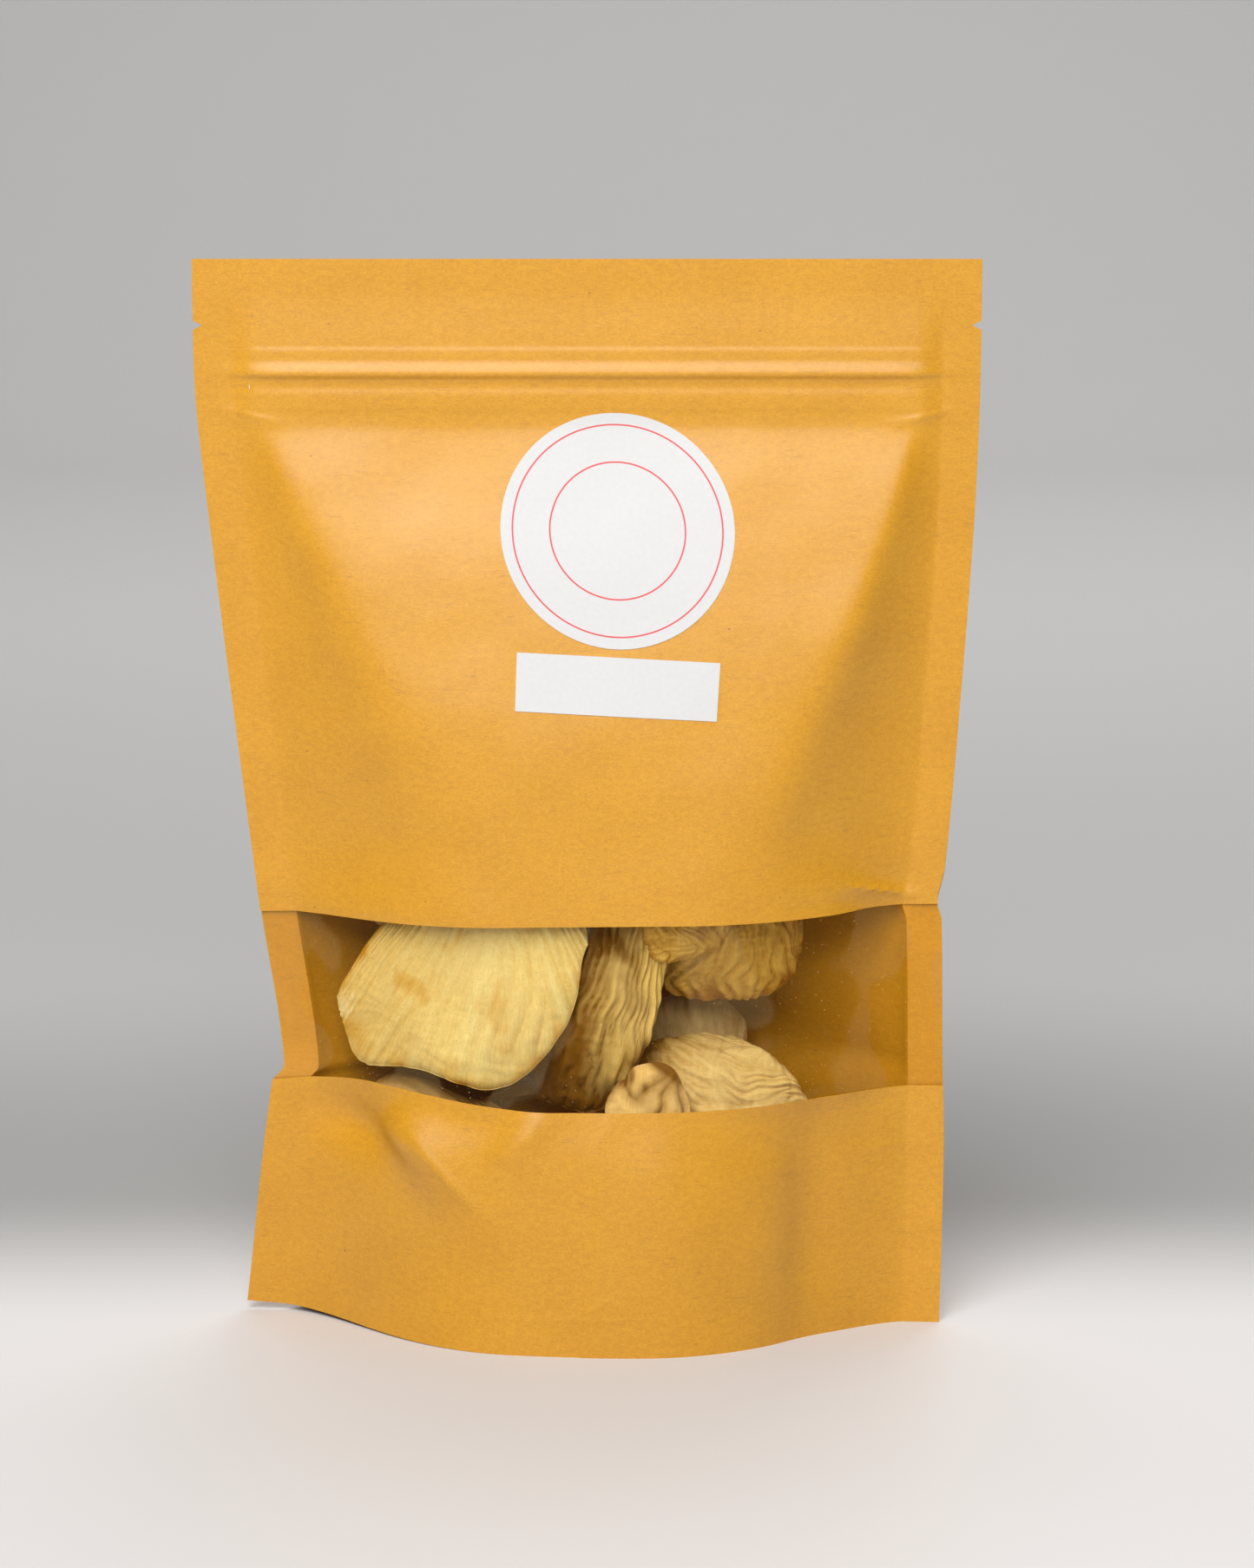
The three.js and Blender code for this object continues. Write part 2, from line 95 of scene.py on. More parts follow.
FRONT_BULGE = [
    [0, 31.2], [20, 30.4], [40, 28.4], [55, 25.6], [75, 21.6], [95, 19.2], [115, 17.6], [135, 15.4],
    [155, 12.2], [175, 8.2], [190, 4.6], [203, 1.4], [207, 1.2], [218, 1.15], [222, 0.9], [232, 0.15],
    [240, 0.05],
]
BACK_BULGE = [
    [0, 33.2], [20, 32.6], [40, 31], [70, 27], [100, 23], [130, 18], [155, 12.6], [175, 8], [190, 4.4],
    [203, 1.4], [207, 1.2], [218, 1.15], [222, 0.9], [232, 0.15], [240, 0.05],
]
# How far in from the side seal the bulge reaches its full depth, as a share of the half width.
SHOULDER = [
    [0, 0.82], [55, 0.85], [95, 0.72], [112, 0.54], [143, 0.36], [174, 0.2], [198, 0.1], [206, 0.08],
    [240, 0.08],
]
# How softly the wall leaves its side seals: 1 is a crisp fold.
FOLD_POWER = {
    -1: [[0, 1.35], [50, 1.3], [60, 1.1], [95, 1.1], [112, 1.35], [240, 1.35]],
    1: [[0, 1.2], [50, 1.05], [60, 0.9], [95, 0.9], [112, 1.2], [240, 1.35]],
}
# How much of the section is two flat facets with a ridge between, in place of one soft curve.
FACETED = [[0, 0.25], [50, 0.2], [60, 0], [96, 0], [115, 0.75], [150, 1], [198, 1], [206, 0], [240, 0]]
FACET_POWER = 1.25
RIDGE_SOFTNESS = {-1: 0.2, 1: 0.1}  # left and right
RAISED_CORNER = {"lift": 2, "reach": 45}


def blended(stations, v):
    """The value at height v, eased between the stations without overshooting them."""
    at, value = np.array(stations, float).T
    v = np.asarray(v, float)
    i = np.searchsorted(at[1:-1], v, side="left")
    straight = (value[i + 1] - value[i]) / (at[i + 1] - at[i])
    before = np.maximum(np.arange(len(at)) - 1, 0)
    after = np.minimum(np.arange(len(at)) + 1, len(at) - 1)
    central = (value[after] - value[before]) / (at[after] - at[before])

    def slope_at(j):
        kept = np.sign(central[j]) * np.minimum(np.abs(central[j]), 2 * np.abs(straight))
        return np.where(central[j] * straight <= 0, 0, kept)

    t = np.clip((v - at[i]) / (at[i + 1] - at[i]), 0, 1)
    ease = t * t * (3 - 2 * t)
    leaving = t * (1 - t) ** 2 * slope_at(i)
    arriving = t * t * (t - 1) * slope_at(i + 1)
    return value[i] + (value[i + 1] - value[i]) * ease + (leaving + arriving) * (at[i + 1] - at[i])


def noise(x, y, seed):
    """Smooth noise from about -1 to 1, with features about 1 across."""
    size = 64
    turns = np.random.RandomState(seed).rand(size, size) * 2 * math.pi
    x, y = np.broadcast_arrays(np.asarray(x, float), np.asarray(y, float))
    x0, y0 = np.floor(x).astype(int), np.floor(y).astype(int)
    fx, fy = x - x0, y - y0
    ease_x, ease_y = (f * f * f * (f * (6 * f - 15) + 10) for f in (fx, fy))

    def corner(dx, dy):
        turn = turns[(y0 + dy) % size, (x0 + dx) % size]
        return np.cos(turn) * (fx - dx) + np.sin(turn) * (fy - dy)

    low = corner(0, 0) + (corner(1, 0) - corner(0, 0)) * ease_x
    high = corner(0, 1) + (corner(1, 1) - corner(0, 1)) * ease_x
    return 1.5 * (low + (high - low) * ease_y)


def smooth_step(low, high, x):
    t = np.clip((x - low) / (high - low), 0, 1)
    return t * t * (3 - 2 * t)


# --- Creases, dents and embossed lines ----------------------------------------------------------------

# Each crease runs between two points (u, v) of the flat front, and lifts the paper by its height along
# the line, falling away over its width on each side. A sharp one has a crisp line.
FRONT_CREASES = [
    # from, to, width, height, sharp
    ((-27, 32), (-52, 51), 7.5, 2.6, False),
    ((-25, 30.5), (-41, 45.5), 1.8, 0.8, True),
    ((-14, 54.5), (-20, 42), 5, 1.5, False),
    ((60, 101), (80, 97), 2.0, 1.3, True),
    ((62, 95), (76, 93), 3, -1.1, False),
    ((-79, 207), (-66, 204), 2.0, 0.5, True),
    ((79, 207), (66, 204), 2.0, 0.5, True),
    ((-22, 8.2), (20, 8.6), 0.9, 0.18, True),
    ((-2, 8.4), (5, 13.5), 1.0, 0.35, True),
    ((5, 13.5), (8, 9), 1.0, 0.3, True),
    ((70.5, 54), (70.5, 41), 0.7, 0.22, True),
    ((62, 41), (84, 41), 0.7, 0.2, True),
]
# Each dent pushes the paper in around a point: centre, half sizes, turn in degrees, depth.
FRONT_DENTS = [
    ((-63, 45), (12, 5.5), -12, 2.2),
    ((-34, 194), (13, 9), 20, 0.7),
    ((52, 24), (8, 26), 0, 1.8),
    ((-66, 170), (8, 34), 12, 1.0),
    ((70, 100), (9, 5), -15, 0.8),
]
BACK_CREASES = [
    ((-79, 207), (-64, 203), 2.0, 0.5, True),
    ((79, 207), (66, 204), 2.0, 0.5, True),
    ((-30, 60), (-52, 44), 4, 0.8, False),
    ((34, 52), (50, 70), 4, 0.7, False),
    ((-25, 8.2), (26, 8.5), 0.9, 0.18, True),
]
BACK_DENTS = [
    ((-60, 60), (13, 9), -20, 1.8),
    ((58, 80), (12, 16), 15, 1.5),
    ((30, 190), (14, 8), 10, 0.6),
]


def crease(u, v, start, end, width, height, sharp):
    along_it = np.subtract(end, start)
    length = np.hypot(*along_it)
    du, dv = u - start[0], v - start[1]
    t = (du * along_it[0] + dv * along_it[1]) / length**2
    off = (du * along_it[1] - dv * along_it[0]) / length
    past = np.maximum(0, np.maximum(-t, t - 1)) * length
    away = np.sqrt(off**2 + past**2 + 0.01) / width
    taper = 0.35 + 0.65 * np.sin(math.pi * np.clip(t, 0, 1))
    return height * taper * (np.exp(-1.6 * away) if sharp else np.exp(-(away**2)))


def dent(u, v, centre, half, turn, depth):
    c, s = math.cos(math.radians(turn)), math.sin(math.radians(turn))
    du, dv = u - centre[0], v - centre[1]
    x, y = (c * du + s * dv) / half[0], (c * dv - s * du) / half[1]
    return -depth * np.exp(-(x**2 + y**2))


def zipper_relief(u, v):
    """What shows through the paper of the zipper inside: its flange, and the ribs of its track."""
    inside = smooth_step(83.5, 66, np.abs(u))
    below_top = smooth_step(ZIPPER_TOP + 1.3, ZIPPER_TOP + 0.7, v)
    flange = 0.12 * below_top * smooth_step(ZIPPER_BOTTOM - 1, ZIPPER_BOTTOM + 0.5, v)
    rib = 0.75 * smooth_step(RIB_HEIGHT - 0.7, RIB_HEIGHT + 0.1, v) * smooth_step(3.6, 0.3, v - RIB_HEIGHT)
    under = -0.25 * np.exp(-(((v - RIB_HEIGHT + 2.4) / 1.3) ** 2))
    return inside * (flange + rib + under)


def relief(face, u, v):
    """How far the paper stands out from its plain bent shape."""
    creases, dents = (FRONT_CREASES, FRONT_DENTS) if face < 0 else (BACK_CREASES, BACK_DENTS)
    out = sum(crease(u, v, *c) for c in creases) + sum(dent(u, v, *d) for d in dents)
    loose = smooth_step(0, 14, INNER_HALF - np.abs(u)) * smooth_step(206, 190, v) * smooth_step(0, 10, v)
    slow = 0.45 * noise(u / 34, v / 30, 11 + face) + 0.16 * noise(u / 13, v / 15, 21 + face)
    return out + loose * slow + zipper_relief(u, v) + 0.02 * noise(u / 5, v / 4, 31 + face)


# --- The bent walls -----------------------------------------------------------------------------------


def section(face, u, v):
    """The wall's bulge as a share of its full depth, across the pouch."""
    in_from_seal = np.maximum(0, INNER_HALF - np.abs(u)) / INNER_HALF
    across = in_from_seal / blended(SHOULDER, v)
    soft = np.sin(math.pi / 2 * np.minimum(1, across)) ** blended(FOLD_POWER[face], v)
    softness = np.where(u < 0, RIDGE_SOFTNESS[-1], RIDGE_SOFTNESS[1])
    rising = across**FACET_POWER
    turned = -softness * np.logaddexp(-rising / softness, -1 / softness)
    faceted = np.where(in_from_seal > 0, np.maximum(0, turned + softness * np.exp(-1 / softness)), 0)
    share = blended(FACETED, v)
    return soft + (faceted - soft) * share


def depth_at(face, u, v):
    """The depth (y) of a wall. face is -1 for the front and +1 for the back."""
    full = blended(FRONT_BULGE if face < 0 else BACK_BULGE, v)
    left, right = blended(LEFT_EDGE_Y, v), blended(RIGHT_EDGE_Y, v)
    seam = left + (right - left) * (u / POUCH_WIDTH + 0.5)
    crown = 0.05 * full * (1 - (u / HALF_WIDTH) ** 2) * smooth_step(60, 120, v)
    bulge = full * section(face, u, v) + crown * section(face, u, v)
    return seam + face * (blended(PLY_STACK, v) + bulge + relief(face, u, v))


def across_at(face, u, v):
    """Paper doesn't stretch, so a steep stretch of the section takes up less of the pouch's width."""
    stations = np.linspace(-HALF_WIDTH, HALF_WIDTH, 121)
    step = stations[1] - stations[0]
    rows = v[:, :1]
    slope = np.diff(depth_at(face, stations[None, :], rows), axis=1) / step
    width = np.sqrt(np.maximum(0.05, 1 - slope**2))
    reached = np.concatenate([np.zeros_like(rows), np.cumsum(width, axis=1)], axis=1)
    reached /= reached[:, -1:]
    share = np.stack([np.interp(line, stations, row) for line, row in zip(u, reached)])
    left, right = blended(LEFT_EDGE_X, v), blended(RIGHT_EDGE_X, v)
    return left + (right - left) * share


def height_at(face, u, v):
    lifted = RAISED_CORNER["lift"] * np.maximum(0, -u / HALF_WIDTH) ** 3
    raised = lifted * np.maximum(0, 1 - v / RAISED_CORNER["reach"])
    if face < 0:  # the window's edges don't run level
        at_bottom = smooth_step(12, WINDOW_BOTTOM, v) * smooth_step(80, 57, v)
        raised = raised + 2.6 * at_bottom * np.exp(-(((u + 56) / 24) ** 2))
        raised = raised + 0.9 * np.exp(-(((v - WINDOW_TOP) / 18) ** 2)) * u / INNER_HALF
    return v * SETTLING + raised


class Wall:
    """The bent front or back wall as a fine grid of points, from which every sheet on it is cut."""

    def __init__(self, face, u, v):
        self.face, self.u_lines, self.v_lines = face, u, v
        flat_u, flat_v = np.meshgrid(u, v)
        notch = np.maximum(0, 1 - np.abs(flat_v - NOTCH_HEIGHT) / NOTCH_HALF) * NOTCH_DEPTH
        margin = np.clip((np.abs(flat_u) - 80) / (HALF_WIDTH - 80), 0, 1)
        self.u = flat_u - np.sign(flat_u) * margin * notch
        self.v = flat_v
        places = (across_at, depth_at, height_at)
        self.points = np.stack([place(face, self.u, flat_v) for place in places], axis=-1)
        du = np.gradient(self.points, axis=1)
        dv = np.gradient(self.points, axis=0)
        out = np.cross(dv, du) * face
        out /= np.linalg.norm(out, axis=-1, keepdims=True)
        self.normals = out

    def at(self, u, v, grid=None):
        """The wall's points, or another grid's values, at any u and v."""
        grid = self.points if grid is None else grid
        i = np.clip(np.searchsorted(self.v_lines, v) - 1, 0, len(self.v_lines) - 2)
        j = np.clip(np.searchsorted(self.u_lines, u) - 1, 0, len(self.u_lines) - 2)
        s = ((v - self.v_lines[i]) / (self.v_lines[i + 1] - self.v_lines[i]))[..., None]
        t = ((u - self.u_lines[j]) / (self.u_lines[j + 1] - self.u_lines[j]))[..., None]
        low = grid[i, j] * (1 - t) + grid[i, j + 1] * t
        high = grid[i + 1, j] * (1 - t) + grid[i + 1, j + 1] * t
        return low * (1 - s) + high * s


def lines(stops, spacing):
    """Grid lines through the stops, no further apart than the spacing given for each stretch."""
    out = [stops[0]]
    for low, high, step in zip(stops, stops[1:], spacing):
        count = max(1, math.ceil((high - low) / step))
        out += [low + (high - low) * (i + 1) / count for i in range(count)]
    return np.array(out)


ACROSS = [-85, -78, -76, 76, 78, 85]
FRONT_U = lines(ACROSS, [1.4, 0.5, 0.85, 0.5, 1.4])
BACK_U = lines(ACROSS, [1.4, 0.5, 1.1, 0.5, 1.4])
WALL_V = lines(
    [0, 7, 14, FILM_BOTTOM, WINDOW_BOTTOM, WINDOW_TOP, FILM_TOP, 205, 222, 224, 227, 240],
    [0.9, 0.45, 0.9, 0.9, 0.9, 0.75, 0.9, 0.4, 0.7, 0.25, 1.3],
)
front_wall = Wall(-1, FRONT_U, WALL_V)
back_wall = Wall(1, BACK_U, WALL_V)


# --- Meshes -------------------------------------------------------------------------------------------


def make_object(name, points, faces, flat=None, tint=None, sharp=35):
    """A piece from points in millimetres. flat goes into the UV map Flat, and tint is a colour per point."""
    mesh = bpy.data.meshes.new(name)
    mesh.vertices.add(len(points))
    mesh.vertices.foreach_set("co", (np.asarray(points) * MM).astype(np.float32).ravel())
    faces = np.asarray(faces, np.int32)
    mesh.loops.add(faces.size)
    mesh.loops.foreach_set("vertex_index", faces.ravel())
    mesh.polygons.add(len(faces))
    mesh.polygons.foreach_set("loop_start", np.arange(0, faces.size, faces.shape[1], dtype=np.int32))
    mesh.update(calc_edges=True)
    mesh.validate()
    if flat is not None:
        layer = mesh.uv_layers.new(name="Flat")
        layer.data.foreach_set("uv", np.asarray(flat, np.float32)[faces.ravel()].ravel())
    if tint is not None:
        colours = np.concatenate([tint, np.ones((len(tint), 1))], axis=1)
        layer = mesh.color_attributes.new("Tint", "FLOAT_COLOR", "POINT")
        layer.data.foreach_set("color", colours.astype(np.float32).ravel())
    mesh.polygons.foreach_set("use_smooth", np.ones(len(faces), bool))
    mesh.set_sharp_from_angle(angle=math.radians(sharp))
    piece = bpy.data.objects.new(name, mesh)
    bpy.context.scene.collection.objects.link(piece)
    return piece


def finish_piece(piece, material, slot, *nodes):
    piece.data.materials.append(material)
    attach(piece, BODY)
    if nodes:
        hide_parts(*nodes)
    return piece


def sheet_mesh(name, outer, inner, flat):
    """A thin closed sheet between two grids of points."""
    rows, columns = outer.shape[:2]
    at = np.arange(rows * columns).reshape(rows, columns)
    a, b, c, d = at[:-1, :-1], at[:-1, 1:], at[1:, 1:], at[1:, :-1]
    skin = np.stack([a, b, c, d], axis=-1).reshape(-1, 4)
    lining = skin[:, ::-1] + rows * columns
    edge = np.concatenate([at[0, :], at[1:, -1], at[-1, -2::-1], at[-2:0:-1, 0], at[0, :1]])
    rim = np.stack([edge[1:], edge[:-1], edge[:-1] + rows * columns, edge[1:] + rows * columns], axis=-1)
    points = np.concatenate([outer.reshape(-1, 3), inner.reshape(-1, 3)])
    coordinates = np.concatenate([flat.reshape(-1, 2)] * 2) / 100
    return make_object(name, points, np.concatenate([skin, lining, rim]), coordinates)


def cut_sheet(name, wall, low, high, thickness, inset=0):
    """The part of a wall's sheet from v low to v high, inset towards the inside of the pouch."""
    rows = (wall.v_lines >= low - 1e-6) & (wall.v_lines <= high + 1e-6)
    points, normals = wall.points[rows], wall.normals[rows].copy()
    if low == 0:  # the edge that the pouch stands on stays level
        normals[0, :, 2] = 0
        normals[0] /= np.linalg.norm(normals[0], axis=-1, keepdims=True)
    outer = points + normals * (thickness / 2 - inset)
    inner = points - normals * (thickness / 2 + inset)
    flat = np.stack([wall.u[rows], wall.v[rows]], axis=-1)
    if wall.face > 0:
        outer, inner, flat = outer[:, ::-1], inner[:, ::-1], flat[:, ::-1]
    return sheet_mesh(name, outer, inner, flat)


def gusset_grid():
    """The bottom gusset: t runs from -1 at the front bottom edge through 0 at its fold to 1 at the back."""
    u, t = np.meshgrid(lines([-85, 85], [1.3]), lines([-1, -0.04, 0.04, 1], [0.028, 0.02, 0.028]))
    k = 1 - np.abs(t)
    face = np.where(t < 0, -1.0, 1.0)
    rim_front, rim_back = front_wall.at(u, u * 0), back_wall.at(u, u * 0)
    rim_half = (rim_back[..., 1] - rim_front[..., 1]) / 2 - PLY
    fold = np.sqrt(GUSSET_DEPTH**2 - rim_half**2)
    z = rim_front[..., 2] * (1 - k) + fold * k - GUSSET_SAG * rim_half * np.sin(math.pi * k)
    v = z / SETTLING
    front, back = front_wall.at(u, v), back_wall.at(u, v)
    beside = np.where(face < 0, front[..., 0], back[..., 0])
    spread = (rim_half - PLY / 2) * (1 - k) + PLY / 2 * np.clip((1 - k) / 0.04, 0, 1)
    middle = (front + back) / 2
    loose = np.clip(rim_half / 12, 0, 1) * np.sin(math.pi * k)
    wave = loose * (0.5 * noise(u / 17, t * 2, 5) + 0.2 * noise(u / 7, t * 5, 6))
    x = beside + (middle[..., 0] - beside) * k
    points = np.stack([x, middle[..., 1] + face * spread, z + wave], axis=-1)
    return points, np.stack([u, t * GUSSET_DEPTH], axis=-1)


def gusset():
    points, flat = gusset_grid()
    normals = np.cross(np.gradient(points, axis=1), np.gradient(points, axis=0))
    normals /= np.linalg.norm(normals, axis=-1, keepdims=True)
    for row in (0, -1):
        normals[row, :, 2] = 0
        normals[row] /= np.maximum(1e-9, np.linalg.norm(normals[row], axis=-1, keepdims=True))
    return sheet_mesh("bottom_gusset_sheet", points + normals * PAPER / 2, points - normals * PAPER / 2, flat)


# --- Shader building ----------------------------------------------------------------------------------


class Wire:
    """A shader socket in an expression: an operator on it adds the Math node that does its work."""

    def __init__(self, finish, socket):
        self.finish, self.socket = finish, socket

    def __add__(self, other):
        return self.finish.math("ADD", self, other)

    def __sub__(self, other):
        return self.finish.math("SUBTRACT", self, other)

    def __rsub__(self, other):
        return self.finish.math("SUBTRACT", other, self)

    def __mul__(self, other):
        return self.finish.math("MULTIPLY", self, other)

    def __abs__(self):
        return self.finish.math("ABSOLUTE", self)

    __radd__ = __add__
    __rmul__ = __mul__


class Finish:
    """A material under construction, whose nodes all come from node()."""

    def __init__(self, name):
        self.material = bpy.data.materials.new(name)
        self.material.use_nodes = True
        self.tree = self.material.node_tree
        self.tree.nodes.clear()

    def node(self, kind, settings=None, inputs=None, output=0):
        made = self.tree.nodes.new("ShaderNode" + kind)
        for key, value in (settings or {}).items():
            setattr(made, key, value)
        for key, value in (inputs or {}).items():
            if isinstance(value, Wire):
                self.tree.links.new(value.socket, made.inputs[key])
            else:
                made.inputs[key].default_value = value
        return Wire(self, made.outputs[output]) if made.outputs else None

    def math(self, operation, *values):
        return self.node("Math", {"operation": operation}, dict(enumerate(values)))

    def flat(self, across=1, up=1):
        """The flat sheet's own coordinates in millimetres, stretched by a factor each way."""
        place = self.node("UVMap", {"uv_map": "Flat"})
        scale = (100 * across, 100 * up, 100)
        return self.node("VectorMath", {"operation": "MULTIPLY"}, {0: place, 1: scale})

    def turned(self, place, degrees, across=1, up=1):
        turn = (0, 0, math.radians(degrees))
        return self.node("Mapping", {}, {"Vector": place, "Rotation": turn, "Scale": (across, up, 1)})

    def noise(self, place, size, detail=2, roughness=0.5):
        inputs = {"Vector": place, "Scale": 1 / size, "Detail": detail, "Roughness": roughness}
        return self.node("TexNoise", {}, inputs)

    def between(self, value, low, high):
        inputs = {"Value": value, "From Min": low, "From Max": high}
        return self.node("MapRange", {"interpolation_type": "SMOOTHSTEP"}, inputs)

    def mix(self, share, a, b):
        colours = [c if isinstance(c, Wire) else (*c, 1) for c in (a, b)]
        inputs = {"Factor": share, 6: colours[0], 7: colours[1]}
        return self.node("Mix", {"data_type": "RGBA"}, inputs, output=2)

    def bump(self, height, distance, strength=1, normal=None):
        inputs = {"Height": height, "Distance": distance * MM, "Strength": strength}
        if normal is not None:
            inputs["Normal"] = normal
        return self.node("Bump", {}, inputs)

    def surface(self, shader):
        self.node("OutputMaterial", {}, {"Surface": shader})
        return self.material

    def principled(self, **inputs):
        named = {key.replace("_", " "): value for key, value in inputs.items()}
        return self.surface(self.node("BsdfPrincipled", {}, named))


def kraft_paper():
    f = Finish("kraft paper")
    place = f.flat()
    grain = f.noise(f.flat(0.8, 1.2), 0.5, 3, 0.65)
    clouds = f.noise(f.flat(0.8, 1), 16, 3, 0.55)
    mottle = f.noise(f.flat(0.7, 1.1), 1.3, 2, 0.6)
    tone = f.between(0.5 * grain + 0.3 * mottle + 0.2 * clouds, 0.34, 0.66)
    colour = f.mix(tone, (0.60, 0.265, 0.004), (0.73, 0.345, 0.011))
    fibres = None
    for turn, seed in ((6, 0), (-38, 40), (64, 90)):
        moved = f.node("VectorMath", {"operation": "ADD"}, {0: place, 1: (seed, seed, 0)})
        bent = f.node("VectorMath", {"operation": "ADD"}, {0: moved, 1: f.node(
            "TexNoise", {}, {"Vector": moved, "Scale": 0.35}, output=1)})
        streak = f.noise(f.turned(bent, turn, 0.3, 3.4), 1.0, 0)
        mask = f.between(streak, 0.74, 0.8)
        fibres = mask if fibres is None else f.math("MAXIMUM", fibres, mask)
    sparse = f.between(f.noise(place, 5, 1), 0.5, 0.62)
    colour = f.mix(fibres * sparse * 0.3, colour, (0.36, 0.16, 0.02))
    speck = f.node("TexVoronoi", {}, {"Vector": f.turned(place, 20, 1, 1.6), "Scale": 0.09}, output=0)
    colour = f.mix(f.between(speck, 0.035, 0.015) * 0.7, colour, (0.16, 0.07, 0.012))
    height = 0.6 * grain + 0.3 * mottle + 0.25 * fibres
    return f.principled(
        Base_Color=colour,
        Roughness=0.36 + 0.14 * grain,
        Specular_IOR_Level=0.75,
        Normal=f.bump(height, 0.05, 0.5),
    )


def clear_film():
    f = Finish("clear film")
    ripple = f.noise(f.flat(), 9, 2)
    glare = f.node("BsdfPrincipled", {}, {
        "Base Color": (0.8, 0.6, 0.3, 1), "Roughness": 0.12, "Normal": f.bump(ripple, 0.6, 0.35),
    })
    clear = f.node("BsdfTransparent", {}, {"Color": (0.99, 0.97, 0.89, 1)})
    dust = f.between(f.noise(f.flat(), 0.35, 0), 0.8, 0.84)
    # Painted reflection: soft patches where a little of the lit, whitish shader shows instead of the clear one,
    # standing in for softbox reflections on the film. The small specks are dust.
    painted_glare_patches = f.between(f.noise(f.flat(1, 0.7), 19, 1), 0.5, 0.54)
    share = 0.25 * f.node("Fresnel", {}, {"IOR": 1.3}) + 0.4 * dust + 0.03 * painted_glare_patches
    return f.surface(f.node("MixShader", {}, {0: share, 1: clear, 2: glare}))


def zipper_plastic():
    f = Finish("zipper plastic")
    worn = f.noise(f.node("TexCoord", {}, {}, output=3), 0.004, 3)
    return f.principled(
        Base_Color=f.mix(worn, (0.78, 0.75, 0.68), (0.86, 0.84, 0.78)),
        Roughness=0.25 + 0.2 * worn,
    )


RED_RINGS = (22.8, 14.7)


def label_paper(rings):
    f = Finish("label paper" if rings else "plain label paper")
    grain = f.noise(f.flat(), 1.2, 3)
    colour = f.mix(grain, (0.66, 0.655, 0.645), (0.72, 0.715, 0.705))
    if rings:
        radius = f.node("VectorMath", {"operation": "LENGTH"}, {0: f.flat()}, output=1)
        for ring in rings:
            line = f.between(abs(radius - ring), 0.24, 0.12)
            colour = f.mix(line * 0.9, colour, (0.74, 0.05, 0.06))
    return f.principled(
        Base_Color=colour,
        Roughness=0.55 + 0.1 * grain,
        Specular_IOR_Level=0.3,
        Normal=f.bump(f.noise(f.flat(), 3, 2), 0.06, 0.4),
    )


def dried_mushroom():
    f = Finish("dried mushroom")
    tint = f.node("Attribute", {"attribute_name": "Tint"})
    lines_along = f.noise(f.flat(0.25, 4), 1.0, 3, 0.6)
    pores = f.noise(f.node("TexCoord", {}, {}, output=3), 0.0006, 3, 0.6)
    # Painted shade: the colour goes darker where the bump's wrinkle lines and pores sink in, as shade would lie
    # in the grooves.
    shade = f.between(0.6 * lines_along + 0.4 * pores, 0.3, 0.7)
    darker = f.node("VectorMath", {"operation": "MULTIPLY"}, {0: tint, 1: (0.88, 0.78, 0.56)})
    return f.principled(
        Base_Color=f.mix(shade, darker, tint),
        Roughness=0.5 + 0.2 * pores,
        Specular_IOR_Level=0.25,
        Subsurface_Weight=0.15,
        Subsurface_Radius=(0.9, 0.6, 0.3),
        Subsurface_Scale=1.2 * MM,
        Normal=f.bump(0.7 * lines_along + 0.5 * pores, 0.12, 0.55),
    )


KRAFT = kraft_paper()
CLEAR_FILM = clear_film()
ZIPPER_PLASTIC = zipper_plastic()
DRIED_MUSHROOM = dried_mushroom()


# --- The pouch's pieces -------------------------------------------------------------------------------


def build_pouch():
    parts = {
        "back_panel": (back_wall, 0, 240),
        "front_upper_panel": (front_wall, WINDOW_TOP, 240),
        "front_lower_panel": (front_wall, 0, WINDOW_BOTTOM),
    }
    for node, (wall, low, high) in parts.items():
        finish_piece(cut_sheet(node + "_sheet", wall, low, high, PAPER), KRAFT, "kraft_paper", node)
    film = cut_sheet("window_film_sheet", front_wall, FILM_BOTTOM, FILM_TOP, FILM, PLY * 0.8)
    finish_piece(film, CLEAR_FILM, "clear_film", "window_film")
    finish_piece(gusset(), KRAFT, "kraft_paper", "bottom_gusset")
    for node in ("zipper_front_strip", "zipper_back_strip"):
        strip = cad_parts[node]
        strip.data.materials.clear()
        strip.data.materials.append(ZIPPER_PLASTIC)


LABEL = 0.14
LABEL_GAP = 0.03
ROUND_LABEL = {"radius": 25.4, "u": 5.5, "v": 181}
OBLONG_LABEL = {"width": 44.5, "height": 12.7, "u": 4.6, "v": 147.5, "tilt": -3}


def on_front(x, y, label):
    """The outer and inner skins of a label on the front, for flat points x, y about its middle."""
    turn = math.radians(label.get("tilt", 0))
    u = label["u"] + x * math.cos(turn) - y * math.sin(turn)
    v = label["v"] + x * math.sin(turn) + y * math.cos(turn)
    points, normals = front_wall.at(u, v), front_wall.at(u, v, front_wall.normals)
    lift = PAPER / 2 + LABEL_GAP
    return points + normals * (lift + LABEL), points + normals * lift


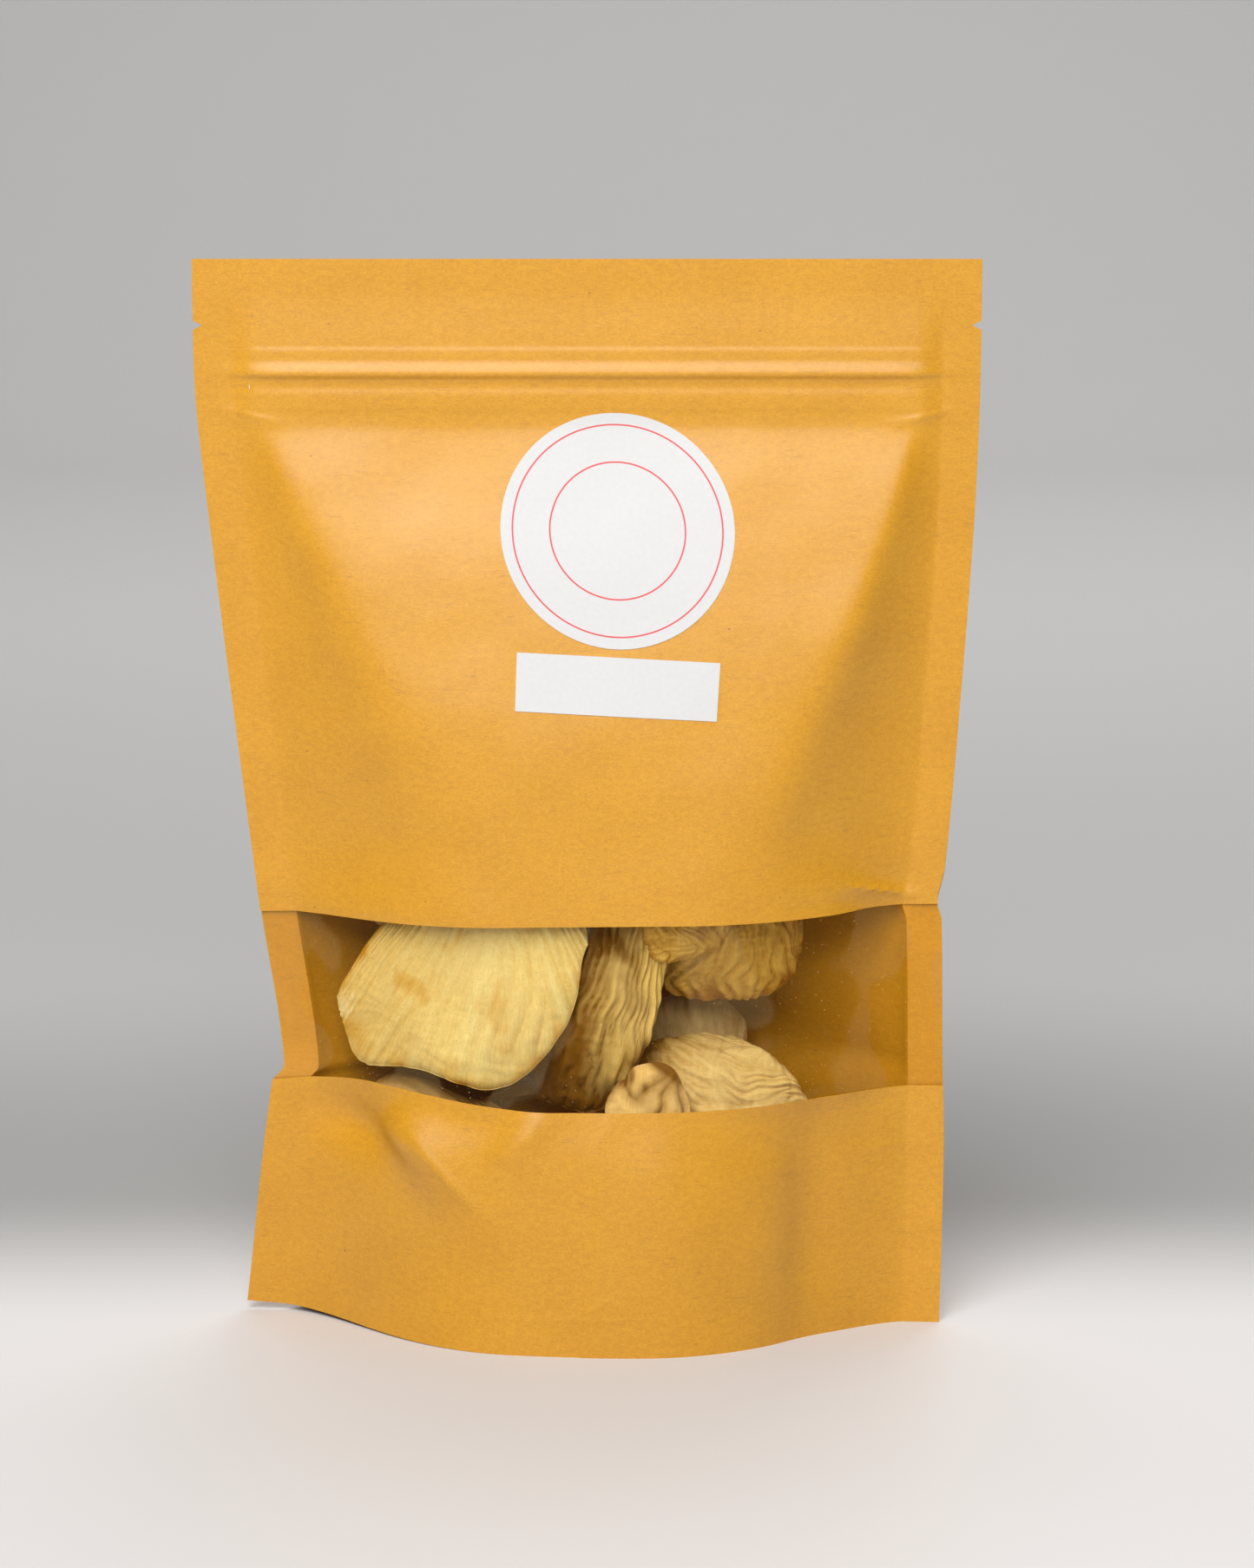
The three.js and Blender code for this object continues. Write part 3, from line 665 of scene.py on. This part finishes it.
def round_label():
    rings, around = 26, 96
    share, angle = np.meshgrid(np.linspace(0, 1, rings + 1)[1:], np.arange(around) * 2 * math.pi / around)
    x = np.append(0, (share * np.cos(angle)).T.ravel()) * ROUND_LABEL["radius"]
    y = np.append(0, (share * np.sin(angle)).T.ravel()) * ROUND_LABEL["radius"]
    at = 1 + np.arange(rings * around).reshape(rings, around)
    on = np.roll(at, -1, axis=1)
    quads = np.stack([at[:-1], at[1:], on[1:], on[:-1]], axis=-1).reshape(-1, 4)
    skin = np.concatenate([quads[:, [0, 1, 2]], quads[:, [0, 2, 3]]])
    skin = np.concatenate([skin, np.stack([at[0] * 0, at[0], on[0]], axis=-1)])
    count = len(x)
    rim = np.concatenate([
        np.stack([at[-1], at[-1] + count, on[-1] + count], axis=-1),
        np.stack([at[-1], on[-1] + count, on[-1]], axis=-1),
    ])
    faces = np.concatenate([skin, skin[:, ::-1] + count, rim])
    flat = np.concatenate([np.stack([x, y], axis=-1)] * 2) / 100
    piece = make_object("round_label_disc", np.concatenate(on_front(x, y, ROUND_LABEL)), faces, flat)
    finish_piece(piece, label_paper(RED_RINGS), "label_paper", "round_label")


def oblong_label():
    width, height = OBLONG_LABEL["width"], OBLONG_LABEL["height"]
    x, y = np.meshgrid(np.linspace(-width / 2, width / 2, 46), np.linspace(-height / 2, height / 2, 14))
    outer, inner = on_front(x, y, OBLONG_LABEL)
    piece = sheet_mesh("oblong_label_sheet", outer, inner, np.stack([x, y], axis=-1))
    finish_piece(piece, label_paper(()), "label_paper", "oblong_label")


build_pouch()
round_label()
oblong_label()

# --- Mushrooms ----------------------------------------------------------------------------------------

STEM_DIRECTION = np.array([-0.62, 0, -0.78])
CURL_CENTRE = 0.4
RIM_THINNING = 0.62

USUAL = {
    "heel": 9, "sides": (20, 20), "sweep": (9, 9), "squareness": 2.3, "heel_squareness": 1.3, "curl": 60,
    "roll": 30, "inroll": 4, "ripple": 1, "thick": 3.6, "stem": 9, "fine": True,
    # how deep the dried folds are, how long, how far apart, and how much they wander
    "folds": (0.6, 14, 2.4, 3), "cross_folds": (0.2, 9, 2.2, 2),
    # where the folds are deepest, from -1 at the left side to 1 at the right, and how much they fade, and where
    # the painted shade over one side of the cap begins
    "deepest": 0, "fading": 0, "painted_shade_from": -0.1, "tip": 0,
    # the flesh's cream and brown; how much it browns in patches and along its margin, which is real, and in its
    # fold valleys, which is painted shade; and how much painted shade falls over one side
    "cream": (0.82, 0.57, 0.18), "brown": (0.42, 0.19, 0.01), "browning_and_fold_shade": 0.35, "painted_shade_side": 0,
}

MUSHROOMS = {
    "mushroom_front_left": {
        "at": (-20, -16, 92), "grows": (-0.17, -0.04, -1), "faces": (-0.16, -1, 0.22),
        "length": 35, "heel": 22, "sides": (34, 21), "sweep": (22, 0), "squareness": 2.3,
        "heel_squareness": 1.25, "curl": 150, "roll": 90, "seed": 0.6, "inroll": 1,
        "folds": (1.5, 30, 3.3, 3.5), "cross_folds": (0.16, 9, 2.6, 3), "deepest": 0.9, "fading": 0.66,
        "cream": (0.96, 0.86, 0.48), "brown": (0.70, 0.38, 0.015), "browning_and_fold_shade": 0.4, "painted_shade_side": -0.4,
    },
    "mushroom_front_middle": {
        "at": (11.5, -12.5, 103), "grows": (-0.29, -0.1, -1), "faces": (-0.05, -1, 0.12),
        "length": 57, "sides": (22, 14.5), "squareness": 2.4, "curl": 80, "roll": 22, "seed": 2.1,
        "inroll": 2,
        "folds": (1.5, 17, 2.9, 7), "cross_folds": (0.25, 9, 3, 3),
        # Its very dark brown serves mostly as painted shade over its left side, which lies in the shadow of the
        # cap in front.
        "cream": (0.96, 0.76, 0.32), "brown": (0.24, 0.105, 0.001), "browning_and_fold_shade": 0.42, "painted_shade_side": -1,
        "painted_shade_from": -0.5, "tip": 0.4,
    },
    "mushroom_upper_right_front": {
        "at": (21, -16.4, 107), "grows": (0.2, -0.02, -1), "faces": (0.25, -1, 0.1),
        "length": 25, "sides": (14, 15), "sweep": (6, 6), "curl": 40, "stem": 6, "seed": 3.3,
        "folds": (0.9, 9, 1.7, 5), "cross_folds": (0.5, 6, 1.9, 3), "cream": (0.78, 0.53, 0.14),
        "browning_and_fold_shade": 0.6,
    },
    "mushroom_upper_right": {
        "at": (33, -7, 110), "grows": (0.0, -0.05, -1), "faces": (0.1, -1, 0.1),
        "length": 40, "sides": (28, 19), "squareness": 2.7, "roll": 34, "seed": 4.2, "folds": (1.1, 12, 2.1, 6),
        "cross_folds": (0.45, 7, 2.0, 3), "cream": (0.80, 0.54, 0.13), "browning_and_fold_shade": 0.6, "painted_shade_side": 0.4,
    },
    "mushroom_lower_right": {
        "at": (44, -9, 51), "grows": (-1, -0.1, 0.1), "faces": (0.15, -1, 0.35),
        "length": 35, "sides": (18, 17), "sweep": (13, 13), "heel_squareness": 1.1, "curl": 50, "roll": 34,
        "seed": 5.1, "folds": (0.7, 11, 2.6, 5), "cross_folds": (0.35, 8, 2.4, 3),
        "cream": (0.96, 0.76, 0.40), "brown": (0.44, 0.22, 0.015), "browning_and_fold_shade": 0.36, "tip": 0.6,
    },
    "mushroom_lower_middle": {
        "at": (12.6, -18.4, 33), "grows": (0.05, -0.08, 1), "faces": (0.1, -1, 0.1),
        "length": 27, "sides": (14, 12), "roll": 17, "stem": 6, "seed": 1.2, "folds": (1.9, 12, 3.4, 4),
        "ripple": 2.2,
        "cream": (0.90, 0.66, 0.32), "brown": (0.26, 0.12, 0.015), "browning_and_fold_shade": 0.8,
    },
    "mushroom_lower_left": {
        "at": (-16, -8, 36), "grows": (-1, -0.02, 0.45), "faces": (-0.1, -1, 0.3),
        "length": 38, "sides": (13, 13), "seed": 2.7, "cream": (0.84, 0.58, 0.24),
    },
    "mushroom_upper_left_rear": {
        "at": (-42, 2.5, 114), "grows": (-0.12, 0, -1), "faces": (-0.2, -1, 0),
        "length": 29, "heel": 5, "sides": (9, 9), "thick": 3, "stem": 5, "seed": 0.2,
        "cream": (0.76, 0.54, 0.36),
    },
    "mushroom_middle_rear": {
        "at": (21, 8, 42), "grows": (0.1, 0, 1), "faces": (0, -1, 0.2),
        "length": 30, "sides": (15, 15), "seed": 3.9, "cream": (0.74, 0.56, 0.32),
    },
    "mushroom_rear_left": {
        "at": (-10, 20, 98), "grows": (-0.3, 0, -1), "faces": (0, 1, 0),
        "length": 40, "roll": 40, "seed": 1.7, "fine": False,
    },
    "mushroom_bottom_left": {
        "at": (-6, -21, 20), "grows": (-1, 0.14, 0.1), "faces": (0, -1, 0.45),
        "length": 36, "heel": 6, "sides": (11, 9), "sweep": (5, 5), "thick": 3, "stem": 6, "seed": 1.3,
        "fine": False,
    },
    "mushroom_bottom_right": {
        "at": (38, -20, 23), "grows": (-1, -0.03, -0.08), "faces": (0, -1, 0.45),
        "length": 34, "heel": 6, "sides": (9, 8), "sweep": (5, 5), "thick": 3, "stem": 6, "seed": 3.6,
        "fine": False,
    },
    "mushroom_bottom_rear": {
        "at": (-22, 15.5, 43.5), "grows": (0.9, 0.1, -0.2), "faces": (0, 1, 0.35),
        "length": 46, "sides": (17, 17), "seed": 5.6, "fine": False,
    },
}


def folded(x, y, folds, seed):
    """Rounded folds along x with narrow valleys between them, from 0 in a valley to about 1."""
    _, length, spacing, wander = folds
    bent = y + wander * noise(x / (1.6 * length), y / (1.6 * length), seed + 1)
    bent = bent + 0.25 * wander * noise(x / (0.5 * length), y / (0.5 * length), seed + 2)
    return np.minimum(1, 1.6 * np.abs(noise(x / length, bent / spacing, seed)))


def cap_shape(m, share, angle, layer, seed):
    """Points of a cap in its own frame, and how deep in a fold each one lies."""
    side = (np.sin(angle) >= 0).astype(int)  # 0 is the left side and 1 the right
    sides, sweep = np.array(m["sides"])[side], np.array(m["sweep"])[side]
    reach = np.where(np.cos(angle) > 0, m["length"], m["heel"])
    power = np.where(np.cos(angle) > 0, m["squareness"], m["heel_squareness"])
    along_it, across_it = np.abs(np.cos(angle) / reach), np.abs(np.sin(angle) / sides)
    outline = (along_it**power + across_it**power) ** (-1 / power)
    wave = 1 + m["ripple"] * (
        0.03 * np.sin(3 * angle + m["seed"]) + 0.02 * np.sin(7 * angle + 2 * m["seed"])
    )
    radius = share * outline * wave
    flat_x = radius * np.cos(angle)
    y = radius * np.sin(angle)
    x = flat_x + sweep * (y / sides) ** 2

    depth, cross_depth = m["folds"][0], m["cross_folds"][0]
    spread = y * (m["length"] / (m["length"] * 0.45 + np.maximum(flat_x, -m["heel"]) + 12))
    main = folded(x, spread, m["folds"], seed)
    cross = folded(y, x, m["cross_folds"], seed + 7)
    near = smooth_step(0, 0.25, share)
    on_top = (layer > -0.6) * near
    beside = y / np.array(m["sides"]).mean()
    fade = 1 - m["fading"] * smooth_step(0, 1.1, np.abs(beside - m["deepest"]))
    carved = fade * depth * (main - 0.7) + cross_depth * (cross - 0.7) * (0.3 + 0.7 * share)
    slow = 0.5 * noise(x / 12, y / 10, seed + 3)
    # How deep in a fold's valley each point lies; the colour uses it to paint shade into the valleys.
    valley = (1 - (depth * main + cross_depth * cross) / (depth + cross_depth)) * (0.35 + 0.65 * fade)

    gill = (layer < -0.4) * smooth_step(0.15, 0.4, share) * smooth_step(1, 0.9, share)
    gills = 0.35 * np.abs(np.sin(angle * 34 + 0.6 * noise(angle * 3, share * 3, seed + 5)))

    thickness = m["thick"] * (1 - RIM_THINNING * share**2) * np.where(share < 1, 1, 0.5)
    rippled = m["ripple"] * share**3 * np.sin(4 * angle + 3 * m["seed"])
    lift = rippled - m["inroll"] * share**5 + thickness * np.maximum(layer, -1)
    lift = lift + on_top * (carved + slow) + (1 - on_top) * near * slow + gill * gills

    level = m["length"] * CURL_CENTRE
    tilt_x, tilt_y = (x - level) / m["curl"], y / m["roll"]
    drop = m["curl"] * (1 - np.cos(tilt_x)) + m["roll"] * (1 - np.cos(tilt_y))
    points = np.stack([
        level + (m["curl"] + lift) * np.sin(tilt_x),
        m["roll"] * np.sin(tilt_y) + lift * np.sin(tilt_y) * np.cos(tilt_x),
        lift * np.cos(tilt_x) * np.cos(tilt_y) - drop,
    ], axis=-1)
    points = points + STEM_DIRECTION * (np.maximum(0, -1 - layer) * m["stem"])[..., None]
    return points, valley, x, y


def cap_profile(fine):
    """(share, layer) from the middle of the stem's end, under the cap and round its margin to the top."""
    top = 110 if fine else 36
    under = 46 if fine else 16
    turn = np.linspace(-math.pi / 2, math.pi / 2, 9)[1:-1]
    shares = [[0, 0.07, 0.12, 0.135, 0.15, 0.165, 0.18, 0.2], np.linspace(0.22, 0.95, under)]
    layers = [[-2, -2, -2, -1.95, -1.7, -1.4, -1.15, -1.02], -np.ones(under)]
    shares += [0.955 + 0.045 * np.cos(turn), np.linspace(0.95, 0, top) ** 0.9]
    layers += [-0.5 + 0.5 * np.sin(turn), np.zeros(top)]
    return np.concatenate(shares), np.concatenate(layers)


def cap_tint(m, share, layer, valley, x, y, seed):
    """Cream flesh, browning in patches and along its margin, darker on its underside, towards the tip and at
    the stem's cut end, with painted shade in its fold valleys and over one side.
    """
    cream, brown = np.array(m["cream"]), np.array(m["brown"])
    blotches = noise(x / 11, y / 9, seed + 11) + 0.35 * noise(x / 3.5, y / 2.2, seed + 12)
    patch = smooth_step(0.15, 0.75, blotches)
    margin = smooth_step(0.86, 1, share) * smooth_step(-0.4, 0.5, noise(x / 8, y / 8, seed + 13))
    under = smooth_step(-0.5, -1, layer) * 0.5
    # Patches and the margin brown for real; the valley term is painted shade in the fold valleys.
    amount = m["browning_and_fold_shade"] * (0.9 * patch + 0.9 * valley**1.5 + 0.6 * margin) + 0.35 * margin + under * 0.4
    # Painted shade: one side of the cap, picked by the sign of the side share, darkens towards the brown from
    # the given start across it, where the cap lies in the shadow of the cap in front.
    towards = np.where(m["painted_shade_side"] < 0, -1, 1) * y / np.mean(m["sides"])
    amount = amount + 0.75 * abs(m["painted_shade_side"]) * smooth_step(m["painted_shade_from"], m["painted_shade_from"] + 1, towards)
    amount = amount + m["tip"] * smooth_step(0.45, 1, x / m["length"])
    cut_end = smooth_step(-1.6, -1.95, layer)
    amount = np.clip(amount + 0.4 * cut_end, 0, 1)[..., None]
    speckle = 1 + 0.05 * noise(x / 1.5, y / 1.5, seed + 14)[..., None]
    return (cream + (brown - cream) * amount) * speckle


def mushroom(node, m, number):
    """One dried oyster mushroom: a fan-shaped, curled cap with its stem at one side."""
    seed = 100 + 20 * number
    around = 400 if m["fine"] else 120
    shares, layers = cap_profile(m["fine"])
    share, angle = np.meshgrid(shares[1:-1], np.arange(around) * 2 * math.pi / around, indexing="ij")
    layer = np.repeat(layers[1:-1, None], around, axis=1)
    share = np.concatenate([[shares[0]], share.ravel(), [shares[-1]]])
    angle = np.concatenate([[0], angle.ravel(), [0]])
    layer = np.concatenate([[layers[0]], layer.ravel(), [layers[-1]]])
    local, valley, x, y = cap_shape(m, share, angle, layer, seed)

    grows = Vector(m["grows"]).normalized()
    across = Vector(m["faces"]).cross(grows).normalized()
    basis = np.array([grows, across, grows.cross(across)])
    points = local @ basis + np.array(m["at"])

    rings = len(shares) - 2
    at = 1 + np.arange(rings * around).reshape(rings, around)
    on = np.roll(at, -1, axis=1)
    quads = np.stack([at[:-1], on[:-1], on[1:], at[1:]], axis=-1).reshape(-1, 4)
    last = 1 + rings * around
    start = np.stack([at[0] * 0, on[0], at[0]], axis=-1)
    end = np.stack([at[-1], on[-1], at[-1] * 0 + last], axis=-1)
    faces = np.concatenate([quads[:, [0, 1, 2]], quads[:, [0, 2, 3]], start, end])

    fan = np.arctan2(y, x + m["length"] * 0.45 + 12) * m["length"]
    tint = cap_tint(m, share, layer, valley, x, y, seed)
    piece = make_object(node + "_cap", points, faces, np.stack([x, fan], axis=-1) / 100, tint, 60)
    return finish_piece(piece, DRIED_MUSHROOM, "dried_mushroom", node)


for number, (node, own) in enumerate(MUSHROOMS.items()):
    mushroom(node, {**USUAL, **own}, number)

# --- Stage, lights and camera -------------------------------------------------------------------------


def stage_paper_painted_falloff():
    f = Finish("stage paper with painted falloff")
    place = f.node("TexCoord", {}, {}, output=3)
    y = f.node("SeparateXYZ", {}, {0: place}, output=1)
    # Painted shade: the floor is light in front and darkens in a band just behind the pouch, where the lamps'
    # light falls off and the pouch's shadow lies; further back it turns lighter grey up the backdrop.
    floor = f.mix(f.between(y, -0.01, 0.1), (0.675, 0.655, 0.645), (0.325, 0.318, 0.312))
    behind = f.mix(f.between(y, 0.12, 0.34), floor, (0.455, 0.45, 0.445))
    return f.principled(
        Base_Color=f.mix(f.between(y, 0.4, 1.1), behind, (0.555, 0.55, 0.545)),
        Roughness=0.5,
        Specular_IOR_Level=0.2,
    )


def sweep():
    """A floor that curves up into a backdrop."""
    half, front, bend, radius, top = 3.0, -2.6, 1.5, 0.5, 2.6
    turns = np.linspace(0, math.pi / 2, 40)
    floor = [(y, 0.0) for y in np.linspace(front, bend, 80)[:-1]]
    curve = [(bend + radius * math.sin(a), radius * (1 - math.cos(a))) for a in turns]
    wall = [(bend + radius, z) for z in np.linspace(radius, top, 12)[1:]]
    outline = floor + curve + wall
    points = np.array([(x, y, z) for y, z in outline for x in (-half, half)]) / MM
    faces = [(2 * i, 2 * i + 1, 2 * i + 3, 2 * i + 2) for i in range(len(outline) - 1)]
    backdrop = make_object("sweep", points, faces)
    backdrop.data.materials.append(stage_paper_painted_falloff())


def area_light(name, place, target, size, watts):
    data = bpy.data.lights.new(name, "AREA")
    data.shape = "RECTANGLE"
    data.size, data.size_y = size
    data.energy = watts
    lamp = bpy.data.objects.new(name, data)
    lamp.location = place
    lamp.rotation_euler = (Vector(target) - Vector(place)).to_track_quat("-Z", "Y").to_euler()
    bpy.context.scene.collection.objects.link(lamp)


def light_scene():
    middle = (0, 0, 0.12)
    area_light("key", (-0.26, -0.95, 1.4), middle, (0.9, 0.9), 21)
    area_light("front", (-0.1, -1.45, 0.88), middle, (1.0, 0.45), 9)
    area_light("top", (0.0, 0.1, 1.7), (0, 0.1, 0), (1.6, 1.0), 2.5)
    area_light("back", (0.1, 1.1, 1.7), (0.05, 0.75, 0), (2.4, 1.0), 15)
    area_light("rear fill", (0.55, 1.45, 1.25), middle, (1.0, 0.6), 5)
    world = bpy.data.worlds.new("studio")
    world.use_nodes = True
    background = world.node_tree.nodes["Background"]
    background.inputs["Color"].default_value = (0.95, 0.95, 0.94, 1)
    background.inputs["Strength"].default_value = 0.12
    bpy.context.scene.world = world
    bpy.context.scene.view_settings.view_transform = "Standard"


def camera():
    """Looks down a little at the front, from straight ahead."""
    distance, pitch = 1.05, math.radians(11)
    target = Vector((8.6 * MM, 0, 121 * MM))
    data = bpy.data.cameras.new("camera")
    data.lens, data.sensor_width = 109.8, 36
    data.clip_start, data.clip_end = 0.05, 20
    eye = bpy.data.objects.new("camera", data)
    eye.location = target + distance * Vector((0, -math.cos(pitch), math.sin(pitch)))
    eye.rotation_euler = (math.pi / 2 - pitch, 0, 0)
    bpy.context.scene.collection.objects.link(eye)
    bpy.context.scene.camera = eye


sweep()
light_scene()
camera()
